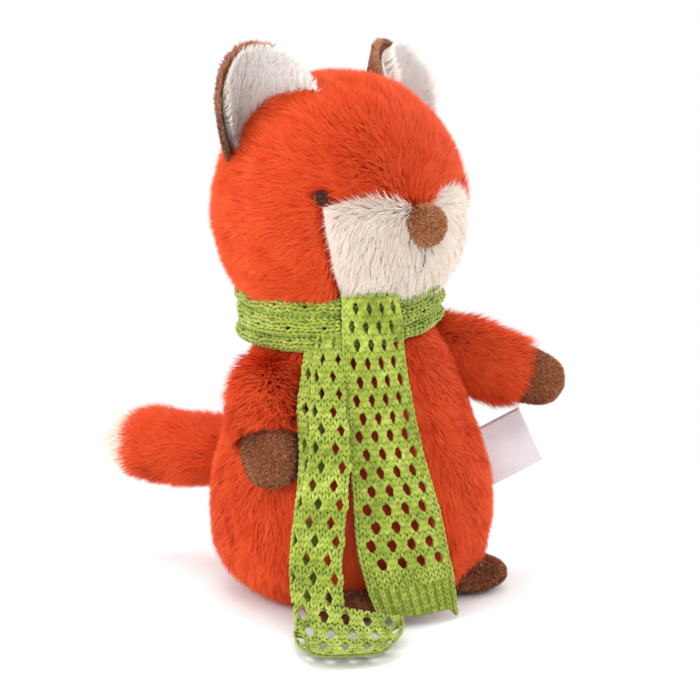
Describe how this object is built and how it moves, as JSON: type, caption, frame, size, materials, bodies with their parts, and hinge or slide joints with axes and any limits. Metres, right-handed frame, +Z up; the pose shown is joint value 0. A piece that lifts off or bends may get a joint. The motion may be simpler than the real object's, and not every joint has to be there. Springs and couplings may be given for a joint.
{
  "type": "plush fox toy",
  "caption": "Sitting stuffed fox toy with long orange pile, cream cheeks, brown paws and feet, and a knitted lace scarf wound round the neck; arms, feet and tail flex at their seams.",
  "frame": {"origin": "middle of the flat base panel, on the surface that the toy sits on", "axes": "+Z up, the toy faces -Y, its right side is -X"},
  "size_m": [0.1566, 0.1986, 0.2199],
  "materials": {
    "orange_plush": "long soft pile, orange red, brushed",
    "cream_plush": "long soft pile, warm white",
    "brown_plush": "short velvety pile, brown",
    "nose_felt": "short felted pile, light brown",
    "dark_thread": "satin embroidery thread, dark brown",
    "green_yarn": "soft acrylic yarn, yellow green, lace knit",
    "label_cloth": "smooth woven label cloth, pale lilac grey",
    "filling": "white polyester wadding",
    "pellets": "cloth pouch of small pellets"
  },
  "bodies": {
    "torso": {"body_skin": "orange_plush", "base_panel": "orange_plush", "body_stuffing": "filling", "pellet_pouch": "pellets", "head_skin": "orange_plush", "head_stuffing": "filling", "muzzle_right": "cream_plush", "muzzle_left": "cream_plush", "nose": "nose_felt", "mouth_stitch": "dark_thread", "eye_right": "dark_thread", "eye_left": "dark_thread", "ear_right_back": "brown_plush", "ear_right_lining": "cream_plush", "ear_left_back": "brown_plush", "ear_left_lining": "cream_plush", "scarf_neck_wrap": "green_yarn", "scarf_front_panel": "green_yarn", "scarf_side_fall": "green_yarn", "scarf_side_end": "green_yarn", "side_label": "label_cloth"},
    "arm_right": {"arm_right_sleeve": "orange_plush", "arm_right_paw": "brown_plush", "arm_right_stuffing": "filling"},
    "arm_left": {"arm_left_sleeve": "orange_plush", "arm_left_paw": "brown_plush", "arm_left_stuffing": "filling"},
    "tail": {"tail_sleeve": "orange_plush", "tail_tip": "cream_plush", "tail_stuffing": "filling"},
    "foot_right": {"foot_right_upper": "brown_plush", "foot_right_sole": "brown_plush", "foot_right_stuffing": "filling"},
    "foot_left": {"foot_left_upper": "brown_plush", "foot_left_sole": "brown_plush", "foot_left_stuffing": "filling"}
  },
  "joints": [
    {"name": "arm_right_lift", "type": "hinge", "parent": "torso", "child": "arm_right", "pos_m": [-0.03715, 0.00522, 0.09664], "axis": [0, 1, 0], "range_deg": [0, 30], "stiffness_Nm_per_rad": 0.08},
    {"name": "arm_left_lift", "type": "hinge", "parent": "torso", "child": "arm_left", "pos_m": [0.03559, -0.00628, 0.0992], "axis": [-0.5592, -0.829, 0], "range_deg": [-10, 30], "stiffness_Nm_per_rad": 0.08},
    {"name": "tail_swing", "type": "hinge", "parent": "torso", "child": "tail", "pos_m": [-0.01121, 0.05272, 0.04608], "axis": [0, 0, 1], "range_deg": [-20, 20], "stiffness_Nm_per_rad": 0.08},
    {"name": "foot_right_lift", "type": "hinge", "parent": "torso", "child": "foot_right", "pos_m": [-0.03649, -0.03649, 0.014], "axis": [-0.7071, 0.7071, 0], "range_deg": [0, 15], "stiffness_Nm_per_rad": 0.08},
    {"name": "foot_left_lift", "type": "hinge", "parent": "torso", "child": "foot_left", "pos_m": [0.03649, -0.03649, 0.014], "axis": [-0.7071, -0.7071, 0], "range_deg": [0, 15], "stiffness_Nm_per_rad": 0.08}
  ]
}
